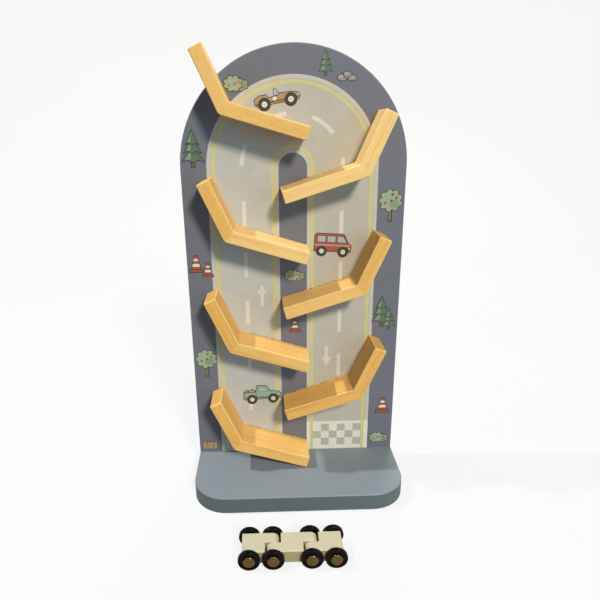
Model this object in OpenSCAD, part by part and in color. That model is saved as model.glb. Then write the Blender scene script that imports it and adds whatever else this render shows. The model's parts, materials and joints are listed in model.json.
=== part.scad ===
// Click clack track: an arched back board on a foot, seven wooden ramps and a jointed car.
// Millimetres, +X to the right, +Y to the back, +Z up.
// The origin is the middle of the underside of the base.

/* [Board and base] */
// Width of the back board and of the base
track_w = 220; // [190:1:260]
// Height of the board's straight sides above the base
side_h = 316; // [260:1:380]
// Thickness of the back board
board_t = 12; // [9:0.5:18]
// Depth of the base in front of the board
base_front = 84; // [60:1:120]
// Depth of the base behind the board
base_behind = 20; // [12:1:60]
// Thickness of the base
base_t = 18; // [15:0.5:28]
// Radius of the base's front corners
front_r = 36; // [5:1:45]
// Radius of the base's rear corners
rear_r = 10; // [2:1:12]

/* [Ramps] */
// Thickness of the ramp stock
ramp_t = 13; // [10:0.5:16]
// Depth of the ramp stock, out from the board
ramp_d = 36; // [28:1:50]
// Length of a ramp's running face
ramp_len = 75.5; // [60:0.5:90]
// Length of a catch's inner face
catch_len = 52; // [35:1:60]
// Slope of a ramp, in degrees below level
ramp_slope = 17; // [10:0.5:25]
// Slope of a catch, in degrees above level
catch_slope = 66; // [50:1:80]
// Radius of the outer corner where a ramp meets its catch
corner_r = 6; // [1:0.5:8]
// Distance from the board's side to a ramp's inner corner
side_margin = 51.5; // [45:0.5:60]
// Distance from the arch's edge to the top ramp's inner corner
arch_margin = 26.6; // [24:0.2:34]
// Gap between the lowest ramp and the base
floor_gap = 0.5; // [0.5:0.5:10]
// Height of the right ramps above half way between two left ramps
right_lift = 1.3; // [0:0.1:6]

/* [Fasteners] */
// Shank radius of the screws
screw_r = 2; // [1.5:0.1:2.5]
// Head radius of the screws
screw_head_r = 4; // [3:0.1:4.5]
// Depth of a screw head below the face that it is driven into
head_sink = 0.4; // [0.2:0.1:1]
// Wood left in front of a ramp screw's tip
tip_cover = 12; // [6:1:20]
// Distance from a ramp's ends to its screws
ramp_screw_inset = 18; // [12:1:25]
// Distance from the inner corner to a catch's screw
catch_screw_inset = 12; // [8:1:16]
// Bite of the base screws in the board
base_screw_bite = 30; // [20:1:40]
// Distance from a ramp's inner corner out to the outer base screws
outer_screw_out = 26.5; // [15:0.5:35]
// Distance from a ramp's inner corner in to the inner base screws
inner_screw_in = 30.5; // [26:0.5:35]
// Distance from a ramp's inner corner in to the dowels
dowel_in = 1.5; // [0:0.5:5]
// Radius of the dowels
dowel_r = 3; // [2:0.5:4]
// Depth of the dowels in the base, and in the board
dowel_bite = 11; // [8:1:13]

/* [Car] */
// Distance from the base's front edge to the car's centre line
car_ahead = 58.5; // [30:0.5:100]
// Sideways place of the car's centre
car_x = -11.5; // [-50:0.5:50]
// Width of the car's blocks
block_w = 23.5; // [18:0.5:26]
// Height of the car's blocks
block_h = 12.5; // [9:0.5:15]
// Length of an end block past its own axle
block_overhang = 6.5; // [4:0.5:8]
// Radius of the wheels
wheel_r = 10; // [9:0.25:11]
// Thickness of the wheels
wheel_t = 4.4; // [3:0.1:5]
// Rounding of the wheel rims
rim_round = 0.9; // [0.3:0.1:1.1]
// Depth of the dish in a wheel's outer face
dish_depth = 1; // [0.6:0.1:1.2]
// Width of a wheel's rim, from the tread to the dish
rim_w = 2.3; // [1.5:0.1:2.8]
// Depth of the web below a wheel's inner face
web_depth = 0.8; // [0.4:0.1:1]
// Wall of a wheel's hub
hub_wall = 2.1; // [1.5:0.1:3]
// Height of a wheel's hub above its rim, towards the block
hub_proud = 0.2; // [0.1:0.05:0.4]
// Room between the two wheels of an end block
wheel_space = 1.5; // [1:0.5:6]
// Room between the two wheels of the middle block
middle_space = 14.5; // [10:0.5:25]
// Radius of the axles
axle_r = 1.5; // [1:0.1:2]
// Radius of the axle caps
cap_r = 5.5; // [4:0.1:6]
// Thickness of the axle caps
cap_t = 2; // [1.8:0.1:3]
// Rounding of the caps' outer edge
cap_round = 0.9; // [0.3:0.1:1.2]
// Depth of the axle in a cap
cap_bite = 1.2; // [0.8:0.1:1.4]
// Room between a rounded tongue and the shoulder that it faces
tongue_gap = 1; // [0.8:0.1:3]

/* [Clearances] */
// Radial clearance of what turns
run_gap = 0.08; // [0.03:0.01:0.1]
// Radial clearance of what is pressed, glued or screwed
fixed_gap = 0.02; // [0.01:0.01:0.05]
// Side clearance between two tongues
lap_gap = 0.4; // [0.2:0.1:0.8]
// Side clearance of a wheel against its block and against its cap
wheel_gap = 0.3; // [0.2:0.1:0.6]

/* [Hidden] */
$fn = 64;
// Overlap that keeps cuts clear of the faces they open
cut = 1;

LEFT_COUNT = 4;
RIGHT_COUNT = 3;
LEFT = [for (k = [1:LEFT_COUNT]) ["left", k]];
RIGHT = [for (k = [1:RIGHT_COUNT]) ["right", k]];
RAMPS = concat(LEFT, RIGHT);
AXLES = [1, 2, 3, 4];
SIDES = ["front", "back"];

function ramp_name(r) = str("ramp_", r[0], "_", r[1]);
function catch_name(r) = str("catch_", r[0], "_", r[1]);
function axle_name(n) = str("axle_", n);
function caps_name(n) = str("axle_", n, "_caps");
function wheel_name(n, side) = str("wheel_", n, "_", side);

// Board and base
arch_r = track_w / 2;
base_depth = base_front + board_t + base_behind;
base_front_y = -base_depth / 2;
board_face_y = base_front_y + base_front;
board_middle_y = board_face_y + board_t / 2;

// Ramp outline: a ramp and its catch leave the inner corner along these directions.
// Each normal points away from the running face, through the stock.
ramp_dir = [cos(ramp_slope), -sin(ramp_slope)];
ramp_normal = [-sin(ramp_slope), -cos(ramp_slope)];
catch_dir = [-cos(catch_slope), sin(catch_slope)];
catch_normal = [-sin(catch_slope), -cos(catch_slope)];
mitre_angle = catch_slope - ramp_slope;
mitre_dir = (ramp_normal + catch_normal) / (1 + cos(mitre_angle));
corner_centre = (ramp_t - corner_r) * mitre_dir;
CORNER_STEPS = 6;

// Places of the ramps' inner corners
corner_x = arch_r - side_margin;
low_corner_z = base_t + floor_gap + ramp_len * sin(ramp_slope) + ramp_t * cos(ramp_slope);
top_corner_z = base_t + side_h + sqrt(pow(arch_r - arch_margin, 2) - pow(corner_x, 2));
ramp_pitch = (top_corner_z - low_corner_z) / (LEFT_COUNT - 1);
function is_left(r) = r[0] == "left";
function corner_z(r) = is_left(r)
    ? top_corner_z - (r[1] - 1) * ramp_pitch
    : top_corner_z - (r[1] - 0.5) * ramp_pitch + right_lift;

// Screws, drawn with the head at the origin and the tip along +Z
screw_bite = ramp_d - tip_cover;
ramp_screw_len = board_t - head_sink + screw_bite;
base_screw_len = base_t - head_sink + base_screw_bite;
head_h = screw_head_r - screw_r;
screw_tip_h = 2 * screw_r;
recess_w = screw_r / 2;
recess_h = 0.7 * head_h;
ramp_screw_points = [for (s = [ramp_screw_inset, ramp_len - ramp_screw_inset])
    s * ramp_dir + ramp_t / 2 * ramp_normal];
catch_screw_point = catch_screw_inset * catch_dir + ramp_t / 2 * catch_normal;

// Base fasteners: their places are counted from the ramps' inner corner,
// so that they pass beside the screws of the lowest ramp.
outer_screw_x = corner_x + outer_screw_out;
inner_screw_x = corner_x - inner_screw_in;
dowel_x = corner_x - dowel_in;

// Car
car_y = base_front_y - car_ahead;
end_base = 2 * wheel_r + wheel_space;
middle_base = 2 * wheel_r + middle_space;
AXLE_X = [-middle_base / 2 - end_base, -middle_base / 2, middle_base / 2, middle_base / 2 + end_base];
tongue_r = block_h / 2;
shoulder = tongue_r + tongue_gap;
half_w = block_w / 2;
wheel_y = half_w + wheel_gap;
dish_r = wheel_r - rim_w;
hub_r = axle_r + hub_wall;
rim_r = wheel_r - rim_round;
cap_y = wheel_y + wheel_t - dish_depth + wheel_gap;
axle_len = 2 * (cap_y + cap_bite - wheel_gap / 2);
ROUND_STEPS = 5;

// Shared shapes

function round_corner(centre, r, from, to, steps) = [for (i = [0:steps])
    let (a = from + (to - from) * i / steps) centre + r * [cos(a), sin(a)]];

// Rounded outer corner of a ramp, from the ramp's underside to the mitre
ramp_corner = round_corner(corner_centre, corner_r, -90 - ramp_slope, -90 - ramp_slope - mitre_angle / 2,
    CORNER_STEPS);
// The same corner, from the mitre to the outside of the catch
catch_corner = round_corner(corner_centre, corner_r, -90 - ramp_slope - mitre_angle / 2, -90 - catch_slope,
    CORNER_STEPS);

// Moves a shape from the frame of one ramp (inner corner at the origin, out from the board along +Z)
// to its place on the board. The right ramps are mirror images of the left ones.
module on_board(r) {
    translate([is_left(r) ? -corner_x : corner_x, board_face_y, corner_z(r)])
        mirror([is_left(r) ? 0 : 1, 0, 0])
            rotate([90, 0, 0])
                children();
}

module at_axle(n) {
    translate([car_x + AXLE_X[n - 1], car_y, wheel_r])
        children();
}

// Lays a shape drawn along +Z across the car, pointing to the front or the back
module across(side) {
    rotate([side == "front" ? 90 : -90, 0, 0])
        children();
}

module screw(length) {
    difference() {
        rotate_extrude()
            polygon([[0, 0], [screw_head_r, 0], [screw_r, head_h],
                [screw_r, length - screw_tip_h], [0, length]]);
        for (a = [0, 90])
            rotate(a)
                translate([-screw_head_r / 2, -recess_w / 2, -cut])
                    cube([screw_head_r, recess_w, recess_h + cut]);
    }
}

// Countersunk hole for a screw, with the head below the face at the origin
module screw_hole(depth) {
    translate([0, 0, -cut])
        cylinder(r = screw_r + fixed_gap, h = depth + cut);
    translate([0, 0, -cut])
        cylinder(r = screw_head_r + fixed_gap, h = head_sink + cut);
    translate([0, 0, head_sink])
        cylinder(r1 = screw_head_r + fixed_gap, r2 = screw_r + fixed_gap, h = head_h);
}

module pilot_hole(depth) {
    translate([0, 0, -cut])
        cylinder(r = screw_r + fixed_gap, h = depth + fixed_gap + cut);
}

module axle_hole(n, gap) {
    at_axle(n)
        rotate([90, 0, 0])
            cylinder(r = axle_r + gap, h = block_w + 2 * cut, center = true);
}

// Full-width stretch of a car block between two places along the car
module block_body(x0, x1) {
    translate([car_x + x0, car_y - half_w, wheel_r - block_h / 2])
        cube([x1 - x0, block_w, block_h]);
}

// Half-width tongue with a round end on axle n, that reaches to the block's body at x1
module tongue(n, x1, side) {
    tongue_w = half_w - lap_gap / 2;
    x0 = AXLE_X[n - 1];
    tongue_y = side == "front" ? -half_w : lap_gap / 2;
    translate([car_x + min(x0, x1), car_y + tongue_y, wheel_r - block_h / 2])
        cube([abs(x1 - x0), tongue_w, block_h]);
    translate([car_x + x0, car_y + tongue_y, wheel_r])
        rotate([-90, 0, 0])
            cylinder(r = tongue_r, h = tongue_w);
}

// Track

module board_outline() {
    translate([-arch_r, 0])
        square([track_w, side_h]);
    translate([0, side_h])
        circle(arch_r, $fn = 180);
}

module back_board() {
    color("slategray")
        difference() {
            translate([0, board_face_y + board_t, base_t])
                rotate([90, 0, 0])
                    linear_extrude(board_t)
                        board_outline();
            for (r = RAMPS, p = concat(ramp_screw_points, [catch_screw_point]))
                on_board(r)
                    translate([p.x, p.y, -board_t])
                        screw_hole(board_t + cut);
            for (x = [-outer_screw_x, -inner_screw_x, inner_screw_x, outer_screw_x])
                translate([x, board_middle_y, base_t])
                    pilot_hole(base_screw_bite);
            for (x = [-dowel_x, dowel_x])
                translate([x, board_middle_y, base_t - cut])
                    cylinder(r = dowel_r + fixed_gap, h = dowel_bite + fixed_gap + cut);
        }
}

module base_outline() {
    translate([-arch_r, base_front_y + front_r])
        square([track_w, base_depth - front_r - rear_r]);
    for (end = [[base_front_y, front_r, 0], [-base_front_y, rear_r, 1]])
        translate([0, end[0]])
            mirror([0, end[2]]) {
                translate([-arch_r + end[1], 0])
                    square([track_w - 2 * end[1], end[1]]);
                for (x = [-1, 1])
                    translate([x * (arch_r - end[1]), end[1]])
                        circle(end[1]);
            }
}

module base_plate() {
    color("lightslategray")
        difference() {
            linear_extrude(base_t)
                base_outline();
            for (x = [-outer_screw_x, -inner_screw_x, inner_screw_x, outer_screw_x])
                translate([x, board_middle_y, 0])
                    screw_hole(base_t + cut);
            for (x = [-dowel_x, dowel_x])
                translate([x, board_middle_y, base_t - dowel_bite - fixed_gap])
                    cylinder(r = dowel_r + fixed_gap, h = dowel_bite + fixed_gap + cut);
        }
}

module ramp(r) {
    end = ramp_len * ramp_dir;
    color("burlywood")
        on_board(r)
            difference() {
                linear_extrude(ramp_d)
                    polygon(concat([[0, 0], end, end + ramp_t * ramp_normal], ramp_corner));
                for (p = ramp_screw_points)
                    translate([p.x, p.y, 0])
                        pilot_hole(screw_bite);
            }
}

module catch(r) {
    end = catch_len * catch_dir;
    color("burlywood")
        on_board(r)
            difference() {
                linear_extrude(ramp_d)
                    polygon(concat([[0, 0]], catch_corner, [end + ramp_t * catch_normal, end]));
                translate([catch_screw_point.x, catch_screw_point.y, 0])
                    pilot_hole(screw_bite);
            }
}

module ramp_screws() {
    color("silver")
        for (r = RAMPS, p = concat(ramp_screw_points, [catch_screw_point]))
            on_board(r)
                translate([p.x, p.y, head_sink - board_t])
                    screw(ramp_screw_len);
}

module base_screws() {
    color("silver")
        for (x = [-outer_screw_x, -inner_screw_x, inner_screw_x, outer_screw_x])
            translate([x, board_middle_y, head_sink])
                screw(base_screw_len);
}

module base_dowels() {
    color("tan")
        for (x = [-dowel_x, dowel_x])
            translate([x, board_middle_y, base_t - dowel_bite])
                cylinder(r = dowel_r, h = 2 * dowel_bite);
}

// Car

module car_left_block() {
    color("ivory")
        difference() {
            union() {
                block_body(AXLE_X[0] - block_overhang, AXLE_X[1] - shoulder);
                tongue(2, AXLE_X[1] - shoulder, "back");
            }
            axle_hole(1, fixed_gap);
            axle_hole(2, run_gap);
        }
}

module car_middle_block() {
    color("ivory")
        difference() {
            union() {
                block_body(AXLE_X[1] + shoulder, AXLE_X[2] - shoulder);
                tongue(2, AXLE_X[1] + shoulder, "front");
                tongue(3, AXLE_X[2] - shoulder, "back");
            }
            axle_hole(2, fixed_gap);
            axle_hole(3, fixed_gap);
        }
}

module car_right_block() {
    color("ivory")
        difference() {
            union() {
                block_body(AXLE_X[2] + shoulder, AXLE_X[3] + block_overhang);
                tongue(3, AXLE_X[2] + shoulder, "front");
            }
            axle_hole(3, run_gap);
            axle_hole(4, fixed_gap);
        }
}

module axle(n) {
    color("silver")
        at_axle(n)
            rotate([90, 0, 0])
                cylinder(r = axle_r, h = axle_len, center = true);
}

// Round cap with a blind bore, pressed on each end of an axle
module axle_caps(n) {
    cap_edge = [cap_r - cap_round, cap_t - cap_round];
    color("peru")
        at_axle(n)
            for (side = SIDES)
                across(side)
                    translate([0, 0, cap_y])
                        rotate_extrude()
                            polygon(concat(
                                [[axle_r + fixed_gap, 0], [cap_r, 0]],
                                round_corner(cap_edge, cap_round, 0, 90, ROUND_STEPS),
                                [[0, cap_t], [0, cap_bite], [axle_r + fixed_gap, cap_bite]]));
}

// Moulded wheel: a round-edged rim, a thin web, a hub that bears on the block and a dish for the cap
module wheel(n, side) {
    dish_floor = wheel_t - dish_depth;
    color("black")
        at_axle(n)
            across(side)
                translate([0, 0, wheel_y])
                    rotate_extrude()
                        polygon(concat(
                            [[axle_r + run_gap, 0], [hub_r, 0], [hub_r, web_depth]],
                            [[dish_r, web_depth], [dish_r, hub_proud]],
                            round_corner([rim_r, hub_proud + rim_round], rim_round, -90, 0, ROUND_STEPS),
                            round_corner([rim_r, wheel_t - rim_round], rim_round, 0, 90, ROUND_STEPS),
                            [[dish_r, wheel_t], [dish_r, dish_floor], [axle_r + run_gap, dish_floor]]));
}

back_board();
base_plate();
for (r = RAMPS) {
    ramp(r);
    catch(r);
}
ramp_screws();
base_screws();
base_dowels();
car_left_block();
car_middle_block();
car_right_block();
for (n = AXLES) {
    axle(n);
    axle_caps(n);
    for (side = SIDES)
        wheel(n, side);
}
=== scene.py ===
# Looks of the click clack track: eased and varnished ramps, a painted board with a printed road,
# and a jointed car. Lengths in the helpers are millimetres, and the scene is in metres.
import json
import math
import random

import bmesh
import bpy
from mathutils import Matrix, Vector

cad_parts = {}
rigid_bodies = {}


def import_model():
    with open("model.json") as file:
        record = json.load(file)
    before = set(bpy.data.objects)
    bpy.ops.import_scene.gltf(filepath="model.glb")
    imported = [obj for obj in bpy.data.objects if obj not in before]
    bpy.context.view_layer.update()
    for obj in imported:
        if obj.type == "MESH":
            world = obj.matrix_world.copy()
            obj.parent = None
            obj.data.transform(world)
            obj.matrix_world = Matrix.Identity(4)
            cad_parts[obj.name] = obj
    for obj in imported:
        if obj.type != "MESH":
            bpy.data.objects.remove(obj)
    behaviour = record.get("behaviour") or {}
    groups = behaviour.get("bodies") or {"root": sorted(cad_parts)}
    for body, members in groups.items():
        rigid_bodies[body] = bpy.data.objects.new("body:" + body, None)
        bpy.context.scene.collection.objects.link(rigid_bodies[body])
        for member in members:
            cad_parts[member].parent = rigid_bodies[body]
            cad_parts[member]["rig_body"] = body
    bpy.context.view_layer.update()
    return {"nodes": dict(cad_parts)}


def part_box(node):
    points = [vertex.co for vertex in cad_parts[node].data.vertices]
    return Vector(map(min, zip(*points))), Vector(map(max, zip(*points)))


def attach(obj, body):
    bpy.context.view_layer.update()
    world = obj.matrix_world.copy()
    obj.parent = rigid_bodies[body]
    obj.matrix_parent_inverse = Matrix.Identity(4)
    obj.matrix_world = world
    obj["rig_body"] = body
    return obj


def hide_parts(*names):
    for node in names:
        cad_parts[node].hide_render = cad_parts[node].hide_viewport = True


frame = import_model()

MM = 0.001
SEED = 11
rng = random.Random(SEED)

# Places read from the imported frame, in millimetres
board_low, board_high = (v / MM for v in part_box("back_board"))
HALF_W = board_high.x
FACE_Y = board_low.y
BASE_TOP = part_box("base_plate")[1].z / MM
ARCH_Z = board_high.z - HALF_W
BOARD_T = board_high.y - board_low.y

# Sizes and directions, as in the solids
RAMP_SLOPE = math.radians(17)
CATCH_SLOPE = math.radians(66)
CORNER_X = 58.5
FOOT_CORNER = 37
SIDES = (("left", 4, 1), ("right", 3, -1))
AXLES = range(1, 5)

# How far the edges are eased, and the tolerance for finding them
BOARD_EASE, BASE_EASE, WOOD_EASE, CAR_EASE, WHEEL_EASE = 1.2, 1.0, 1.3, 0.7, 0.18
NEAR = 0.05
WELD = 0.002
FLAT_TURN, SHARP_TURN, SMOOTH_TURN = (math.radians(a) for a in (0.4, 35, 38))


# Materials

class Paint:
    """Builds the node tree of one material."""

    def __init__(self, name):
        self.material = bpy.data.materials.new(name)
        self.material.use_nodes = True
        self.tree = self.material.node_tree
        self.shader = next(n for n in self.tree.nodes if n.type == "BSDF_PRINCIPLED")

    def node(self, kind, inputs=None, **settings):
        made = self.tree.nodes.new(kind)
        for key, value in settings.items():
            setattr(made, key, value)
        for key, value in (inputs or {}).items():
            self.feed(made.inputs[key], value)
        return made

    def feed(self, socket, value):
        if isinstance(value, bpy.types.NodeSocket):
            self.tree.links.new(value, socket)
        else:
            socket.default_value = value

    def shade(self, **inputs):
        for key, value in inputs.items():
            self.feed(self.shader.inputs[key.replace("_", " ")], value)

    def place(self, stretch=(1, 1, 1)):
        coords = self.node("ShaderNodeTexCoord").outputs["Object"]
        return self.node("ShaderNodeMapping", {"Vector": coords, "Scale": stretch}).outputs["Vector"]

    def noise(self, vector, scale, detail=3.0, rough=0.55, distortion=0.0):
        return self.node("ShaderNodeTexNoise", {"Vector": vector, "Scale": scale, "Detail": detail,
                                                "Roughness": rough, "Distortion": distortion}).outputs["Fac"]

    def ramp(self, fac, stops):
        made = self.node("ShaderNodeValToRGB", {"Fac": fac})
        points = made.color_ramp.elements
        while len(points) < len(stops):
            points.new(0.5)
        for point, (at, value) in zip(points, stops):
            point.position = at
            point.color = (*value, 1) if isinstance(value, tuple) else (value, value, value, 1)
        return made.outputs["Color"]

    def mix(self, fac, a, b, blend="MIX"):
        made = self.node("ShaderNodeMix", data_type="RGBA", blend_type=blend)
        self.feed(made.inputs["Factor"], fac)
        for socket, value in zip([s for s in made.inputs if s.type == "RGBA"], (a, b)):
            self.feed(socket, (*value, 1) if isinstance(value, tuple) else value)
        return next(s for s in made.outputs if s.type == "RGBA")

    def math(self, operation, a, b):
        made = self.node("ShaderNodeMath", operation=operation)
        self.feed(made.inputs[0], a)
        self.feed(made.inputs[1], b)
        return made.outputs["Value"]

    def flag(self, name):
        return self.node("ShaderNodeAttribute", attribute_name=name).outputs["Fac"]

    def bump(self, height, strength, distance):
        made = self.node("ShaderNodeBump", {"Height": height, "Strength": strength,
                                            "Distance": distance * MM})
        self.feed(self.shader.inputs["Normal"], made.outputs["Normal"])


def times(colour, factor):
    return tuple(min(1.0, c * factor) for c in colour)


def wood(name, colour, gloss):
    """Varnished hardwood: growth rings round a pith along local X, bands, pores, and eased edges made paler
    in patches, partly as wear and partly as a painted highlight.
    """
    p = Paint(name)
    along = p.place((0.12, 1, 1))
    rings = p.node("ShaderNodeTexWave", {"Vector": along, "Scale": 62.0, "Distortion": 7.0, "Detail": 2.0,
                                         "Detail Scale": 0.7, "Detail Roughness": 0.55},
                   wave_type="RINGS", rings_direction="X", wave_profile="SAW").outputs["Fac"]
    streaks = p.noise(p.place((0.035, 1, 1)), 420.0, 4.0, 0.62)
    bands = p.noise(p.place((0.022, 1, 1)), 190.0, 3.0, 0.5, 0.3)
    flecks = p.noise(p.place((0.2, 1, 1)), 1500.0, 2.0, 0.5)
    clouds = p.noise(p.place((0.4, 1, 1)), 32.0, 3.0, 0.5)
    tone = p.ramp(rings, [(0.0, times(colour, 1.06)), (0.55, colour), (0.93, times(colour, 0.86)),
                          (1.0, times(colour, 1.02))])
    tone = p.mix(0.5, tone, p.ramp(streaks, [(0.3, times(colour, 0.84)), (0.5, colour),
                                             (0.72, times(colour, 1.1))]))
    tone = p.mix(0.35, tone, p.ramp(clouds, [(0.3, (colour[0] * 0.9, colour[1] * 0.86, colour[2] * 0.76)),
                                             (0.7, (colour[0] * 1.08, colour[1] * 1.1, colour[2] * 1.2))]))
    banded = p.ramp(bands, [(0.32, (0.84, 0.73, 0.54)), (0.44, (0.97, 0.95, 0.9)), (0.7, 1.0)])
    tone = p.mix(0.7, tone, banded, "MULTIPLY")
    pores = p.ramp(flecks, [(0.0, (0.6, 0.45, 0.3)), (0.38, (0.9, 0.84, 0.74)), (0.46, 1.0)])
    tone = p.mix(0.65, tone, pores, "MULTIPLY")
    ends = p.ramp(rings, [(0.0, times(colour, 0.94)), (0.6, times(colour, 0.86)), (0.92, times(colour, 0.72)),
                          (1.0, times(colour, 0.88))])
    ends = p.mix(0.5, ends, p.ramp(flecks, [(0.3, times(colour, 0.7)), (0.6, times(colour, 0.95))]))
    tone = p.mix(p.flag("end"), tone, ends)
    deepest = (0.83, 0.684, 0.415)
    tone = p.mix(1.0, tone, p.ramp(p.flag("tone"), [(0.0, deepest), (1.0, 1.0)]), "MULTIPLY")
    # Eased edges turn paler in patches: partly wear, partly a painted highlight along the edges.
    edge_patches = p.ramp(p.noise(p.place(), 240.0), [(0.32, 0.1), (0.65, 0.5)])
    wear_and_highlight = p.math("MULTIPLY", p.flag("ease"), edge_patches)
    tone = p.mix(wear_and_highlight, tone, (0.92, 0.68, 0.32))
    rough = p.ramp(streaks, [(0.3, gloss + 0.09), (0.7, gloss - 0.04)])
    p.shade(Base_Color=tone, Roughness=rough, Specular_IOR_Level=0.26, Coat_Weight=0.06,
            Coat_Roughness=0.45)
    p.bump(p.mix(0.5, flecks, streaks), 0.22, 0.05)
    return p.material


def painted(name, colour, gloss, spread=0.05, edge=1.5, peel=0.2, shaded_sides=None, shine=0.4):
    """Paint on wood: faint mottling, a fine roller texture, edges rubbed paler, and upright sides made darker
    with painted shade.
    """
    p = Paint(name)
    cloud = p.noise(p.place(), 26.0, 4.0, 0.6)
    grit = p.noise(p.place(), 900.0, 3.0, 0.6)

    def uneven(fac, base):
        return p.ramp(fac, [(0.3, times(base, 1 - spread)), (0.7, times(base, 1 + spread))])

    tone = p.mix(0.5, uneven(cloud, colour), uneven(grit, colour))
    edge_patches = p.ramp(p.noise(p.place(), 130.0, 4.0, 0.65), [(0.42, 0.05), (0.68, 0.55)])
    # Upright faces take a darker colour: painted shade on the sides.
    if shaded_sides:
        tone = p.mix(p.flag("end"), tone, uneven(cloud, shaded_sides))
    tone = p.mix(p.math("MULTIPLY", p.flag("ease"), edge_patches), tone, times(colour, edge))
    p.shade(Base_Color=tone, Roughness=p.ramp(cloud, [(0.3, gloss - 0.05), (0.7, gloss + 0.06)]),
            Specular_IOR_Level=shine)
    p.bump(p.mix(0.35, grit, p.noise(p.place(), 300.0, 2.0)), peel, 0.02)
    return p.material


def printed(name, colour, spread=0.07):
    """Ink on the painted board: an uneven wash with a fine grain. A list of colours runs across it; on the
    road this carries a painted tint of light.
    """
    p = Paint(name)
    wash = p.noise(p.place(), 70.0, 5.0, 0.62, 0.4)
    grain = p.noise(p.place(), 1600.0, 2.0, 0.5)
    if isinstance(colour, list):
        widths = p.place((1 / (2 * HALF_W * MM), 1, 1))
        across = p.node("ShaderNodeSeparateXYZ", {"Vector": widths}).outputs["X"]
        tone = p.ramp(p.math("ADD", across, 0.5), [(0.2 + 0.3 * i, stop) for i, stop in enumerate(colour)])
        tone = p.mix(1.0, tone, p.ramp(wash, [(0.32, 1 - spread), (0.68, 1.0)]), "MULTIPLY")
    else:
        tone = p.ramp(wash, [(0.32, times(colour, 1 - spread)), (0.68, colour)])
    tone = p.mix(1.0, tone, p.ramp(grain, [(0.3, 0.95), (0.7, 1.0)]), "MULTIPLY")
    p.shade(Base_Color=tone, Roughness=p.ramp(wash, [(0.3, 0.42), (0.7, 0.52)]), Specular_IOR_Level=0.4)
    p.bump(grain, 0.2, 0.02)
    return p.material


def moulded(name, colour, gloss):
    """Glossy moulded plastic with faint flow marks and handling scuffs."""
    p = Paint(name)
    flow = p.noise(p.place(), 180.0, 4.0, 0.6)
    scuff = p.noise(p.place(), 1500.0, 4.0, 0.7)
    p.shade(Base_Color=p.ramp(flow, [(0.3, times(colour, 0.75)), (0.7, times(colour, 1.5))]),
            Roughness=p.ramp(scuff, [(0.4, gloss), (0.72, gloss + 0.16)]), Specular_IOR_Level=0.07)
    p.bump(flow, 0.15, 0.02)
    return p.material


def metal(name, colour, gloss, mottle, grain=(1, 1, 1)):
    """Plated metal with tarnish in patches and fine turning marks."""
    p = Paint(name)
    patch = p.noise(p.place(), 420.0, 5.0, 0.65)
    marks = p.noise(p.place(grain), 2600.0, 3.0, 0.6)
    tone = p.ramp(patch, [(0.32, times(colour, 1 - mottle)), (0.66, times(colour, 1 + mottle))])
    p.shade(Base_Color=tone, Metallic=1.0, Roughness=p.ramp(marks, [(0.3, gloss - 0.06), (0.7, gloss + 0.1)]))
    p.bump(marks, 0.18, 0.01)
    return p.material


WOOD = wood("ramp_wood_varnished", (0.95, 0.66, 0.272), 0.56)
DOWEL = wood("dowel_wood_plain", (0.62, 0.43, 0.24), 0.6)
BOARD = painted("board_paint_grey", (0.145, 0.154, 0.196), 0.44, edge=1.25)
# The darker colours given for the sides of the base and the car's blocks are painted shade.
BASE = painted("base_paint_blue_grey", (0.23, 0.27, 0.312), 0.5, spread=0.03, edge=1.0, peel=0.05,
               shaded_sides=(0.115, 0.146, 0.163), shine=0.2)
CAR = painted("car_paint_cream", (0.59, 0.56, 0.405), 0.42, spread=0.03, edge=1.1, peel=0.1,
              shaded_sides=(0.377, 0.32, 0.186))
WHEEL = moulded("wheel_plastic_black", (0.004, 0.004, 0.0035), 0.12)
BRONZE = metal("cap_bronze_plated", (0.15, 0.09, 0.035), 0.3, 0.2)
STEEL = metal("axle_steel_plain", (0.55, 0.55, 0.56), 0.32, 0.06, (1, 0.05, 1))
ZINC = metal("screw_zinc_plated", (0.62, 0.62, 0.6), 0.34, 0.14)

INK = {name: printed("print_" + name, colour) for name, colour in {
    # The road ink runs from bluer at the left to warmer at the right: a painted tint of light.
    "road": [(0.502, 0.52, 0.51), (0.474, 0.482, 0.442), (0.494, 0.477, 0.418)],
    "strip": (0.55, 0.55, 0.5),
    "yellow": (0.6, 0.575, 0.27),
    "white": (0.66, 0.665, 0.63),
    "pale": (0.74, 0.74, 0.67),
    "grey": (0.46, 0.455, 0.4),
    "outline": (0.022, 0.019, 0.017),
    "brown": (0.16, 0.105, 0.06),
    "tan": (0.42, 0.29, 0.15),
    "sage": (0.24, 0.31, 0.2),
    "leaf": (0.34, 0.41, 0.26),
    "pine": (0.105, 0.17, 0.115),
    "rust": (0.36, 0.085, 0.055),
    "pink": (0.5, 0.27, 0.23),
    "mint": (0.3, 0.41, 0.34),
    "stone": (0.3, 0.28, 0.25),
    "tyre": (0.05, 0.045, 0.042),
    "glass": (0.4, 0.46, 0.48),
}.items()}


# Pieces made from the frame's nodes

def own_frame(obj, origin, along, across):
    """Gives obj a local frame with X along the grain, so that its texture follows the piece."""
    x = Vector(along).normalized()
    y = Vector(across).normalized()
    turn = Matrix((x, y, x.cross(y))).transposed().to_4x4()
    turn.translation = Vector(origin)
    obj.data.transform(turn.inverted())
    obj.matrix_world = turn


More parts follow.
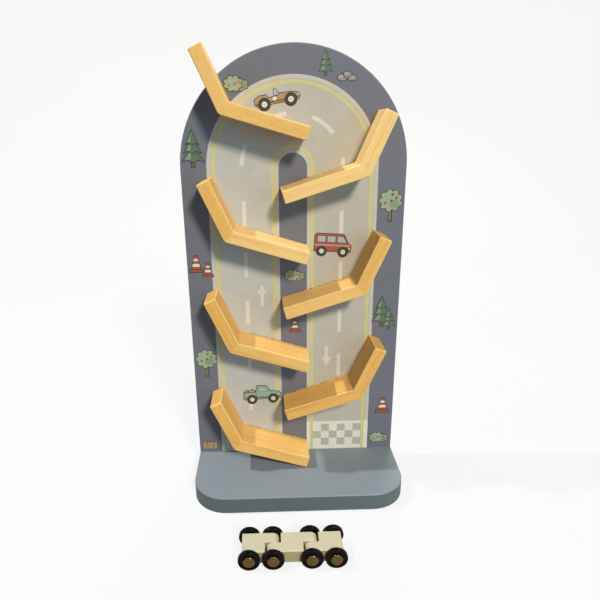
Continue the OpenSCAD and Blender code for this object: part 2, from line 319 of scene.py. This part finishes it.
def dress(node, name, material, ease=0.0, picked=lambda a, b: True, mark=None, steps=3, tone=1.0):
    """A copy of a CAD node with its sharp edges eased and its end grain or upright sides marked, in place of
    the node. Marked upright sides get painted shade.
    """
    bm = bmesh.new()
    bm.from_mesh(frame["nodes"][node].data)
    bmesh.ops.remove_doubles(bm, verts=bm.verts, dist=WELD * MM)
    bmesh.ops.dissolve_limit(bm, angle_limit=FLAT_TURN, verts=bm.verts, edges=bm.edges)
    eased = bm.faces.layers.float.new("ease")
    ends = bm.faces.layers.float.new("end")
    tones = bm.faces.layers.float.new("tone")
    if ease:
        sharp = [e for e in bm.edges if len(e.link_faces) == 2 and e.is_convex
                 and e.calc_face_angle() > SHARP_TURN and picked(*(v.co / MM for v in e.verts))]
        made = bmesh.ops.bevel(bm, geom=sharp, offset=ease * MM, offset_type="OFFSET", segments=steps,
                               profile=0.5, affect="EDGES", clamp_overlap=True)
        for face in made["faces"]:
            face[eased] = 1.0
    for face in bm.faces:
        face[tones] = tone
        if mark and face[eased] == 0 and mark(face.normal):
            face[ends] = 1.0
    mesh = bpy.data.meshes.new(name)
    bm.to_mesh(mesh)
    bm.free()
    mesh.shade_smooth()
    mesh.set_sharp_from_angle(angle=SMOOTH_TURN)
    mesh.materials.clear()
    mesh.materials.append(material)
    obj = bpy.data.objects.new(name, mesh)
    bpy.context.scene.collection.objects.link(obj)
    obj.modifiers.new("even_shading", "WEIGHTED_NORMAL").keep_sharp = True
    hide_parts(node)
    return obj


def settle(obj, node):
    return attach(obj, frame["nodes"][node]["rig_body"])


def on_outline(a, b):
    """True for an edge of the board's outline, away from the base."""
    def at_edge(v):
        return abs(abs(v.x) - HALF_W) < NEAR or abs(math.hypot(v.x, v.z - ARCH_Z) - HALF_W) < NEAR
    low, high = sorted((a.z - BASE_TOP, b.z - BASE_TOP))
    return at_edge(a) and at_edge(b) and low > -2 * NEAR and high > 2 * NEAR


def on_foot(a, b):
    """True for an edge of the base's outline, and not of its holes."""
    low, high = (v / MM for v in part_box("base_plate"))
    flat = [any(abs(p - q) < NEAR for p, q in ((v.x, low.x), (v.x, high.x), (v.y, low.y), (v.y, high.y)))
            for v in (a, b)]
    round_off = [max(min(v.x - low.x, high.x - v.x), min(v.y - low.y, high.y - v.y)) < FOOT_CORNER
                 for v in (a, b)]
    near_board = [abs(v.y - FACE_Y - BOARD_T / 2) < BOARD_T and abs(v.x) < HALF_W - 2 * NEAR for v in (a, b)]
    return all(f or r for f, r in zip(flat, round_off)) and not any(near_board)


# Finds the upright faces of the base and the car's blocks, which are given painted shade.
def upright(normal):
    return abs(normal.z) < 0.5


settle(dress("back_board", "back_board_painted", BOARD, BOARD_EASE, on_outline), "back_board")
settle(dress("base_plate", "base_plate_painted", BASE, BASE_EASE, on_foot, upright),
       "base_plate")


# Pieces cut from paler and from deeper wood than the rest
PALE = {"ramp_left_2", "ramp_right_1", "catch_right_1"}
DEEP = {"catch_left_2", "catch_left_3", "catch_left_4", "catch_right_2", "catch_right_3", "ramp_right_3"}


def cut_tone(node):
    low, high = (0.88, 1.0) if node in PALE else (0.05, 0.22) if node in DEEP else (0.27, 0.45)
    return rng.uniform(low, high)


def wooden(node, corner, along, side):
    """A ramp or catch: every edge is eased, apart from those at the board and in the mitre."""
    half_way = (RAMP_SLOPE + CATCH_SLOPE) / 2
    mitre = Vector((-math.sin(half_way) * side, 0, -math.cos(half_way)))
    across = Vector((0, -1, 0))
    normal = mitre.cross(across)

    def free(a, b):
        in_mitre = all(abs((v - corner).dot(normal)) < NEAR for v in (a, b))
        at_board = min(a.y, b.y) > FACE_Y - NEAR
        return not in_mitre and not at_board

    def end_grain(face_normal):
        return abs(face_normal.dot(along)) > 0.85

    obj = dress(node, node + "_wood", WOOD, WOOD_EASE, free, end_grain, steps=4,
                tone=cut_tone(node))
    pith = Vector((rng.uniform(0.2, 3), rng.uniform(0.05, 0.09),
                   rng.choice((-1, 1)) * rng.uniform(0.01, 0.05)))
    z_local = along.cross(across)
    own_frame(obj, corner * MM - along * pith.x - across * pith.y - z_local * pith.z, along, across)
    settle(obj, node)


def inner_corner(side_name, k, side):
    """Where a ramp's top meets its catch, at the board."""
    return Vector((-CORNER_X * side, FACE_Y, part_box(f"ramp_{side_name}_{k}")[1].z / MM))


def down_ramp(side):
    return Vector((math.cos(RAMP_SLOPE) * side, 0, -math.sin(RAMP_SLOPE)))


def up_catch(side):
    return Vector((-math.cos(CATCH_SLOPE) * side, 0, math.sin(CATCH_SLOPE)))


for side_name, count, side in SIDES:
    for k in range(1, count + 1):
        inner = inner_corner(side_name, k, side)
        wooden(f"ramp_{side_name}_{k}", inner, down_ramp(side), side)
        wooden(f"catch_{side_name}_{k}", inner, up_catch(side), side)


def off_bores(a, b):
    """False for the rims of the axle holes in the car's blocks."""
    for n in AXLES:
        low, high = (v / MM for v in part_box(f"axle_{n}"))
        middle, reach = (low + high) / 2, (high.x - low.x) / 2 + 0.4
        if all(math.hypot(v.x - middle.x, v.z - middle.z) < reach for v in (a, b)):
            return False
    return True


for block in ("left", "middle", "right"):
    node = f"car_{block}_block"
    settle(dress(node, node + "_painted", CAR, CAR_EASE, off_bores, upright), node)
for n in AXLES:
    settle(dress(f"axle_{n}_caps", f"axle_{n}_caps_plated", BRONZE), f"axle_{n}_caps")
    for end in ("front", "back"):
        node = f"wheel_{n}_{end}"
        settle(dress(node, node + "_moulded", WHEEL, WHEEL_EASE, steps=2), node)

dowels = dress("base_dowels", "base_dowels_plain", DOWEL)
own_frame(dowels, (0, FACE_Y * MM, BASE_TOP * MM), (0, 0, 1), (0, 1, 0))
settle(dowels, "base_dowels")

bare_metal = [("ramp_screws", ZINC), ("base_screws", ZINC)] + [(f"axle_{n}", STEEL) for n in AXLES]
for node, material in bare_metal:
    mesh = frame["nodes"][node].data
    mesh.materials.clear()
    mesh.materials.append(material)


# Print on the board's face. Points are (x, height above the base), in millimetres.

LAYER, SUNK = 0.03, 0.02
SIDE_H = ARCH_Z - BASE_TOP
MOTIF_LEVEL = 6


class Print:
    """Thin closed slabs of ink, one object for each part of the print."""

    def __init__(self, name, aside=0.0):
        self.name = name
        self.aside = aside
        self.bm = bmesh.new()
        self.inks = []

    def slab(self, ink, level, points, faces=None):
        if faces is None:
            area = sum(a[0] * b[1] - b[0] * a[1] for a, b in zip(points, points[1:] + points[:1]))
            faces = [list(range(len(points)))[::1 if area > 0 else -1]]
        if ink not in self.inks:
            self.inks.append(ink)
        front, back = ([self.bm.verts.new(((x + self.aside) * MM, (FACE_Y + y) * MM, (BASE_TOP + z) * MM))
                        for x, z in points] for y in (-LAYER * level, SUNK))
        used = {(f[i - 1], f[i]) for f in faces for i in range(len(f))}
        made = [[front[i] for i in f] for f in faces] + [[back[i] for i in reversed(f)] for f in faces]
        made += [[front[j], front[i], back[i], back[j]] for i, j in used if (j, i) not in used]
        for corners in made:
            self.bm.faces.new(corners).material_index = self.inks.index(ink)

    def strip(self, ink, level, left, right):
        """A band between two lines with the same number of points."""
        n = len(left)
        self.slab(ink, level, left + right, [[i, n + i, n + i + 1, i + 1] for i in range(n - 1)])

    def done(self):
        mesh = bpy.data.meshes.new(self.name)
        bmesh.ops.recalc_face_normals(self.bm, faces=self.bm.faces)
        self.bm.to_mesh(mesh)
        self.bm.free()
        for ink in self.inks:
            mesh.materials.append(INK[ink])
        obj = bpy.data.objects.new(self.name, mesh)
        bpy.context.scene.collection.objects.link(obj)
        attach(obj, "track")


def arch(radius, steps=64):
    """Up the left side, over the arch and down the right side, radius away from the middle."""
    turn = [(-radius * math.cos(math.pi * i / steps), SIDE_H + radius * math.sin(math.pi * i / steps))
            for i in range(steps + 1)]
    return [(-radius, 0.0)] + turn + [(radius, 0.0)]


def arc(radius, start, stop, steps=10):
    angles = [math.radians(start + (stop - start) * i / steps) for i in range(steps + 1)]
    return [(radius * math.cos(a), SIDE_H + radius * math.sin(a)) for a in angles]


def box(x0, z0, x1, z1):
    return [(x0, z0), (x1, z0), (x1, z1), (x0, z1)]


ROAD_X, ROAD_OUT, ROAD_IN = -1.1, 83.5, 13.9
YELLOW_IN, YELLOW_OUT, YELLOW_W = 17.7, 75.5, 3.4
road = Print("print_road", ROAD_X)
road.strip("road", 1, arch(ROAD_OUT), arch(ROAD_IN))
road.strip("strip", 2, arch(ROAD_OUT), arch(ROAD_OUT - 3.2))
road.strip("strip", 2, arch(ROAD_IN + 3.4), arch(ROAD_IN))
for low in (YELLOW_IN, YELLOW_OUT):
    road.strip("yellow", 2, arch(low + YELLOW_W), arch(low))
road.done()

lines = Print("print_lane_lines", ROAD_X)
LANE, DASH_W, DASH_L, DASH_PITCH = 48.5, 4.0, 25.7, 51.5
for x, first, count in ((-LANE, 53, 5), (LANE, 93, 5)):
    for k in range(count):
        z = first + k * DASH_PITCH
        if z + DASH_L < SIDE_H + 10:
            lines.slab("white", 2, box(x - DASH_W / 2, z, x + DASH_W / 2, z + DASH_L))
for start, stop in ((39, 67.7), (96.5, 125), (154, 177)):
    lines.strip("white", 2, arc(LANE + DASH_W / 2 + 1, start, stop), arc(LANE - DASH_W / 2 + 1, start, stop))
lines.done()

finish_line = Print("print_finish", ROAD_X)
SQUARE = (YELLOW_OUT - YELLOW_IN - YELLOW_W) / 6
FINISH_LOW, FINISH_HIGH, SQUARES_LOW = 0.2, 36, 5.2
finish_line.slab("pale", 3, box(ROAD_IN, FINISH_LOW, ROAD_OUT, FINISH_HIGH))
for row in range(3):
    for column in range(6):
        if (row + column) % 2 == 1:
            x, z = YELLOW_IN + YELLOW_W + column * SQUARE, SQUARES_LOW + row * SQUARE
            finish_line.slab("grey", 4, box(x, z, x + SQUARE, z + SQUARE))
for low in (YELLOW_IN, YELLOW_OUT):
    finish_line.slab("yellow", 5, box(low, FINISH_LOW, low + YELLOW_W, FINISH_HIGH))
finish_line.done()


def oval(x, z, across, up, steps=20):
    return [(x + across * math.cos(2 * math.pi * i / steps), z + up * math.sin(2 * math.pi * i / steps))
            for i in range(steps)]


def cloud(x, z, across, up, lobes, depth=0.13, steps=7):
    """A lobed round shape, as a leafy crown has."""
    made = []
    for i in range(lobes * steps):
        turn = 2 * math.pi * i / (lobes * steps)
        reach = 1 - depth + 2 * depth * abs(math.sin(lobes * turn / 2))
        made.append((x + across * reach * math.cos(turn), z + up * reach * math.sin(turn)))
    return made


def grow(points, width):
    """The outline of a closed shape, moved outwards by width."""
    turn = 1 if sum(a[0] * b[1] - b[0] * a[1] for a, b in zip(points, points[1:] + points[:1])) > 0 else -1
    made = []
    for before, here, after in zip(points[-1:] + points[:-1], points, points[1:] + points[:1]):
        first, second = (Vector((b[1] - a[1], a[0] - b[0])).normalized() * turn
                         for a, b in ((before, here), (here, after)))
        way = (first + second).normalized()
        reach = width / max(0.45, way.dot(first))
        made.append((here[0] + way.x * reach, here[1] + way.y * reach))
    return made


class Motif(Print):
    """A small picture: shapes in millimetres from its foot, each inked over the last."""

    def __init__(self, name, x, z, scale=1.0, tilt=0.0):
        super().__init__("print_" + name)
        self.spot = Vector((x, z))
        self.scale = scale
        self.turn = Matrix.Rotation(math.radians(tilt), 2)
        self.level = MOTIF_LEVEL

    def dab(self, ink, points):
        placed = [self.spot + self.turn @ Vector(p) * self.scale for p in points]
        self.slab(ink, self.level, [tuple(p) for p in placed])
        self.level += 1

    def draw(self, ink, points, line=0.55):
        self.dab("outline", grow(points, line))
        self.dab(ink, points)

    def wheel(self, x, z, radius):
        self.draw("tyre", oval(x, z, radius, radius))
        self.draw("pale", oval(x, z, radius * 0.5, radius * 0.5, 14), 0.3)
        self.dab("grey", oval(x, z, radius * 0.2, radius * 0.2, 10))


def pine(name, x, z, scale=1.0):
    m = Motif(name, x, z, scale)
    m.draw("brown", box(-1.3, 0, 1.3, 7))
    for reach, low, high in ((9.5, 5, 18), (7.6, 12.5, 24), (5.4, 19.5, 31)):
        m.draw("pine", [(-reach, low), (-reach * 0.5, low + 1.3), (0, low - 0.7), (reach * 0.5, low + 1.3),
                        (reach, low), (0, high)])
        m.dab("sage", [(-reach * 0.74, low + 1.6), (-reach * 0.2, low + 1.7), (-0.7, high - 2.6)])
    m.done()


def tree(name, x, z, scale=1.0):
    m = Motif(name, x, z, scale)
    m.draw("brown", [(-2.1, 0), (2.1, 0), (1.3, 4), (1.2, 13), (-1.2, 13), (-1.3, 4)])
    m.dab("tan", box(-0.9, 0.8, -0.2, 11))
    m.draw("leaf", cloud(0, 21, 10.5, 10, 9))
    m.dab("sage", cloud(3.6, 17.4, 5, 4.2, 7))
    m.dab("mint", cloud(-3.4, 24.2, 4.4, 3.6, 7))
    for u, w in ((-5.4, 18.6), (0.6, 20.8), (5.6, 23.4), (1.6, 27)):
        m.draw("rust", oval(u, w, 0.9, 0.9, 10), 0.3)
    m.done()


def bush(name, x, z, scale=1.0):
    m = Motif(name, x, z, scale)
    m.draw("sage", cloud(4.2, 4.6, 6, 4.6, 6))
    m.draw("leaf", cloud(-2.6, 5.6, 7.6, 5.8, 8))
    m.dab("mint", cloud(-4.4, 7.4, 3.2, 2.3, 6))
    for u, w in ((-6.2, 4.2), (-1.2, 5.4), (2.8, 6.6), (5.8, 3.6)):
        m.draw("pink", oval(u, w, 0.95, 0.95, 10), 0.3)
    m.done()


def cone(name, x, z, scale=1.0, tilt=0.0):
    m = Motif(name, x, z, scale, tilt)

    def half(up):
        return 4.4 - (up - 1.8) * 0.235

    m.draw("rust", [(-half(1.8), 1.8), (half(1.8), 1.8), (half(15.4), 15.4), (-half(15.4), 15.4)])
    for low, high in ((5.0, 7.8), (10.4, 12.6)):
        m.dab("pale", [(-half(low), low), (half(low), low), (half(high), high), (-half(high), high)])
    m.draw("rust", [(-6.4, 0), (6.4, 0), (5.8, 2.2), (-5.8, 2.2)])
    m.done()


def stones(name, x, z, scale=1.0):
    m = Motif(name, x, z, scale)
    for u, w, across, up in ((-4.4, 2.3, 4.2, 2.5), (3.8, 1.9, 3.6, 2.1), (-0.2, 4.7, 3.3, 2.2)):
        m.draw("stone", oval(u, w, across, up))
        m.dab("grey", oval(u - across * 0.25, w + up * 0.35, across * 0.5, up * 0.35, 14))
    m.done()


def bale(name, x, z, scale=1.0, tilt=0.0):
    m = Motif(name, x, z, scale, tilt)
    m.draw("tan", [(-8, 0), (8, 0), (8.5, 1.2), (8.5, 8.4), (7.8, 9.4), (-7.8, 9.4), (-8.5, 8.4),
                   (-8.5, 1.2)])
    for u in (-3.6, 3.4):
        m.dab("brown", box(u, 0.2, u + 0.9, 9.2))
    straws = ((-7.4, 2.4, 3), (-7, 6.6, 2.6), (-1.8, 4.4, 3.4), (-2, 7.8, 4), (5, 2, 2.6), (5.2, 6.2, 2.4))
    for u, w, long in straws:
        m.dab("brown", [(u, w), (u + long, w + 0.3), (u + long, w + 0.75), (u, w + 0.45)])
    m.done()


def pickup(name, x, z, scale=1.0, tilt=0.0):
    m = Motif(name, x, z, scale, tilt)
    for u, w in ((-13.4, 10), (-9.4, 10.6)):
        m.draw("tan", cloud(u, w, 3, 3, 6))
    m.draw("mint", [(-17, 4), (17, 4), (17, 8.6), (15.4, 10.4), (7.4, 11.2), (3.8, 17), (-4.6, 17.4),
                    (-5.8, 10.8), (-17, 10.6)])
    m.draw("glass", [(-3.4, 11.4), (5.2, 11.4), (2.8, 15.6), (-3.2, 15.8)], 0.3)
    m.dab("pine", box(-16.4, 4.6, 16.4, 6.0))
    m.dab("outline", box(-5.9, 5, -5.5, 10.6))
    m.draw("yellow", oval(15.4, 8.2, 1.1, 1.1, 12), 0.3)
    m.wheel(-9.8, 3.9, 4.2)
    m.wheel(9.8, 3.9, 4.2)
    m.done()


def roadster(name, x, z, scale=1.0, tilt=0.0):
    m = Motif(name, x, z, scale, tilt)
    m.draw("glass", [(-2, 9), (2.4, 9), (0.2, 13.6), (-1.4, 13.6)], 0.35)
    m.draw("tan", [(-17.6, 5.2), (-16, 3.4), (16.6, 3.4), (18, 5.4), (17.2, 7.6), (12, 9.2), (2.6, 9.8),
                   (0.4, 8.2), (-6.6, 8), (-8, 10.4), (-13.6, 10.6), (-17.4, 8.4)])
    m.dab("brown", [(-16.6, 4.2), (16.4, 4.2), (17.2, 5.4), (-17, 5.4)])
    m.draw("pale", oval(-1.8, 6.8, 1.9, 1.5, 16), 0.3)
    m.draw("yellow", oval(16.6, 6.8, 1, 1, 12), 0.3)
    m.wheel(-10.4, 4, 4.4)
    m.wheel(10.6, 4, 4.4)
    m.done()


def van(name, x, z, scale=1.0, tilt=0.0):
    m = Motif(name, x, z, scale, tilt)
    m.draw("rust", [(-16, 4), (16, 4), (16.4, 9.6), (13.6, 11.4), (10, 18.6), (8.6, 19.4), (-14.4, 19.4),
                    (-16, 17.8)])
    m.dab("pink", [(-15.7, 8.4), (16, 8.4), (15.6, 10.2), (-15.7, 10.2)])
    for u0, u1, top in ((-13.4, -6.6, -6.6), (-4.8, 2.2, 2.2), (4, 12, 8.8)):
        m.draw("glass", [(u0, 12.2), (u1, 12.2), (top, 17.4), (u0, 17.4)], 0.3)
    m.draw("yellow", oval(15, 6.8, 1, 1, 12), 0.3)
    m.wheel(-9.4, 3.9, 4.2)
    m.wheel(9.6, 3.9, 4.2)
    m.done()


def arrow(name, x, z, scale=1.0, tilt=0.0):
    m = Motif(name, x, z, scale, tilt)
    m.dab("white", [(-1.7, 0), (1.7, 0), (1.7, 13), (5.2, 13), (0, 23), (-5.2, 13), (-1.7, 13)])
    m.done()


def around(turn, reach):
    """A place on the arch, by its angle from the right and its distance from the arch's centre."""
    return reach * math.cos(math.radians(turn)), SIDE_H + reach * math.sin(math.radians(turn))


pine("pine_1", -97, 318, 1.1)
cone("cone_1", -100.6, 214, 1.1)
cone("cone_2", -89, 209, 0.9)
tree("tree_1", -96.2, 96, 0.98)
bale("bale_1", -98, 4, 0.95)
bush("bush_1", *around(127, 88), 1.05)
pine("pine_2", *around(70, 87), 0.68)
stones("stones_1", *around(57, 92), 1.1)
tree("tree_2", 95.8, 262, 0.98)
pine("pine_3", 92, 150, 1.05)
pine("pine_4", 100.4, 146, 0.75)
cone("cone_3", 98, 46, 1.15)
bush("bush_2", 95.6, 8, 1.0)
bush("bush_3", 0, 203, 0.95)
cone("cone_4", 0, 146, 0.9)
roadster("roadster", -14, 371, 1.2, 10)
van("van", 38, 228, 1.15, -4)
pickup("pickup", -36, 62, 1.2, 3)
arrow("arrow_1", -34, 176)
arrow("arrow_2", 34, 128, tilt=180)


LINE_FLECKS, FLECKS_FROM, FLECKS_TO = 30, 2, 73


def fleck_line(name, corner, along):
    """Dark flecks on the board, along the top of a ramp where it meets the board."""
    p = Print(name)
    across = Vector((-along.z, along.x)) * (1 if along.x > 0 else -1)
    way = Vector((along.x, along.z))
    for k in range(LINE_FLECKS):
        at = Vector((corner.x, corner.z - BASE_TOP)) + way * rng.uniform(FLECKS_FROM, FLECKS_TO)
        long, tall = rng.uniform(0.5, 2.4), rng.uniform(0.15, 0.5)
        fleck = ((0, -0.3), (long, -0.3), (long * 0.8, tall), (0.2, tall * 0.7))
        ink = rng.choice(("brown", "outline", "stone"))
        p.slab(ink, MOTIF_LEVEL + k, [tuple(at + way * u + across * w) for u, w in fleck])
    p.done()


for side_name, count, side in SIDES:
    for k in range(1, count + 1):
        fleck_line(f"dark_flecks_{side_name}_{k}", inner_corner(side_name, k, side), down_ramp(side))


# Stage, light and camera

STAGE_REACH, BEND_FROM, BEND, SEEN_WHITE = 4.0, 0.9, 0.9, 0.82
PHOTO_PX = 600


def floor():
    """A pale floor that curves up into a backdrop."""
    bm = bmesh.new()
    bend = [math.radians(a) for a in range(6, 91, 6)]
    profile = [(-STAGE_REACH, 0.0), (BEND_FROM, 0.0)]
    profile += [(BEND_FROM + BEND * math.sin(a), BEND - BEND * math.cos(a)) for a in bend]
    profile += [(BEND_FROM + BEND, STAGE_REACH)]
    rows = [[bm.verts.new((x, y, z)) for y, z in profile] for x in (-STAGE_REACH, STAGE_REACH)]
    for i in range(len(profile) - 1):
        bm.faces.new((rows[0][i], rows[1][i], rows[1][i + 1], rows[0][i + 1]))
    mesh = bpy.data.meshes.new("stage_floor")
    bm.to_mesh(mesh)
    bm.free()
    mesh.shade_smooth()
    obj = bpy.data.objects.new("stage_floor", mesh)
    bpy.context.scene.collection.objects.link(obj)
    p = Paint("stage_white")
    path = p.node("ShaderNodeLightPath")
    uneven = p.noise(p.place(), 3.0)
    p.shade(Base_Color=p.mix(path.outputs["Is Camera Ray"], p.ramp(uneven, [(0.3, 0.15), (0.7, 0.16)]),
                             p.ramp(uneven, [(0.3, 0.66), (0.7, 0.68)])), Roughness=0.9)
    glow = p.node("ShaderNodeEmission", {"Color": (1, 1, 1, 1), "Strength": 1.0})
    seen = p.math("ADD", path.outputs["Is Camera Ray"], path.outputs["Is Glossy Ray"])
    seen = p.math("ADD", seen, path.outputs["Is Transmission Ray"])
    blend = p.node("ShaderNodeMixShader", {"Fac": p.math("MULTIPLY", seen, SEEN_WHITE)})
    out = next(n for n in p.tree.nodes if n.type == "OUTPUT_MATERIAL")
    p.tree.links.new(p.shader.outputs["BSDF"], blend.inputs[1])
    p.tree.links.new(glow.outputs["Emission"], blend.inputs[2])
    p.tree.links.new(blend.outputs["Shader"], out.inputs["Surface"])
    mesh.materials.append(p.material)


def lamp(name, place, aim, size, power, colour=(1, 1, 1)):
    light = bpy.data.lights.new(name, "AREA")
    light.shape = "DISK"
    light.size = size
    light.energy = power
    light.color = colour
    obj = bpy.data.objects.new(name, light)
    obj.location = place
    obj.rotation_mode = "QUATERNION"
    obj.rotation_quaternion = (Vector(aim) - Vector(place)).to_track_quat("-Z", "Y")
    obj.visible_camera = False
    bpy.context.scene.collection.objects.link(obj)


def world(level, colour):
    """A dim room that the camera sees as white."""
    made = bpy.data.worlds.new("studio")
    bpy.context.scene.world = made
    made.use_nodes = True
    tree = made.node_tree
    room = tree.nodes["Background"]
    room.inputs["Color"].default_value = (*colour, 1)
    room.inputs["Strength"].default_value = level
    seen = tree.nodes.new("ShaderNodeBackground")
    seen.inputs["Color"].default_value = (1, 1, 1, 1)
    blend = tree.nodes.new("ShaderNodeMixShader")
    tree.links.new(tree.nodes.new("ShaderNodeLightPath").outputs["Is Camera Ray"], blend.inputs["Fac"])
    tree.links.new(room.outputs["Background"], blend.inputs[1])
    tree.links.new(seen.outputs["Background"], blend.inputs[2])
    tree.links.new(blend.outputs["Shader"], tree.nodes["World Output"].inputs["Surface"])


def camera(place, yaw, pitch, roll, focal, middle):
    """The photograph's camera: angles in degrees, focal length and middle in the photograph's pixels."""
    yaw, pitch, roll = (math.radians(a) for a in (yaw, pitch, roll))
    forward = Vector((math.sin(yaw) * math.cos(pitch), math.cos(yaw) * math.cos(pitch), math.sin(pitch)))
    right = Vector((math.cos(yaw), -math.sin(yaw), 0))
    up = right.cross(forward)
    right, up = right * math.cos(roll) + up * math.sin(roll), up * math.cos(roll) - right * math.sin(roll)
    data = bpy.data.cameras.new("camera")
    data.sensor_width = 36
    data.lens = focal / PHOTO_PX * data.sensor_width
    data.shift_x = (PHOTO_PX / 2 - middle[0]) / PHOTO_PX
    data.shift_y = (middle[1] - PHOTO_PX / 2) / PHOTO_PX
    data.clip_start, data.clip_end = 0.01, 50
    obj = bpy.data.objects.new("camera", data)
    turn = Matrix((right, up, -forward)).transposed().to_4x4()
    turn.translation = Vector(place) * MM
    obj.matrix_world = turn
    bpy.context.scene.collection.objects.link(obj)
    bpy.context.scene.camera = obj


floor()
world(0.25, (0.45, 0.75, 1.0))
lamp("key", (1.783, -4.644, 3.595), (0, 0, 0.24), 1.0, 338, (1.0, 0.87, 0.69))
lamp("side", (-1.225, 0.085, 1.795), (0, 0, 0.15), 0.06, 25)
lamp("fill", (1.22, -1.46, 0.3), (0, 0, 0.2), 1.2, 8, (0.42, 0.75, 1.0))
lamp("back", (0.4, 1.3, 1.1), (0, 0.04, 0.25), 0.8, 9)
camera((-28.808, -503.404, 369.234), 0.74, -18.493, -1.104, 530.3, (273.85, 307.0))
bpy.context.scene.view_settings.view_transform = "Standard"
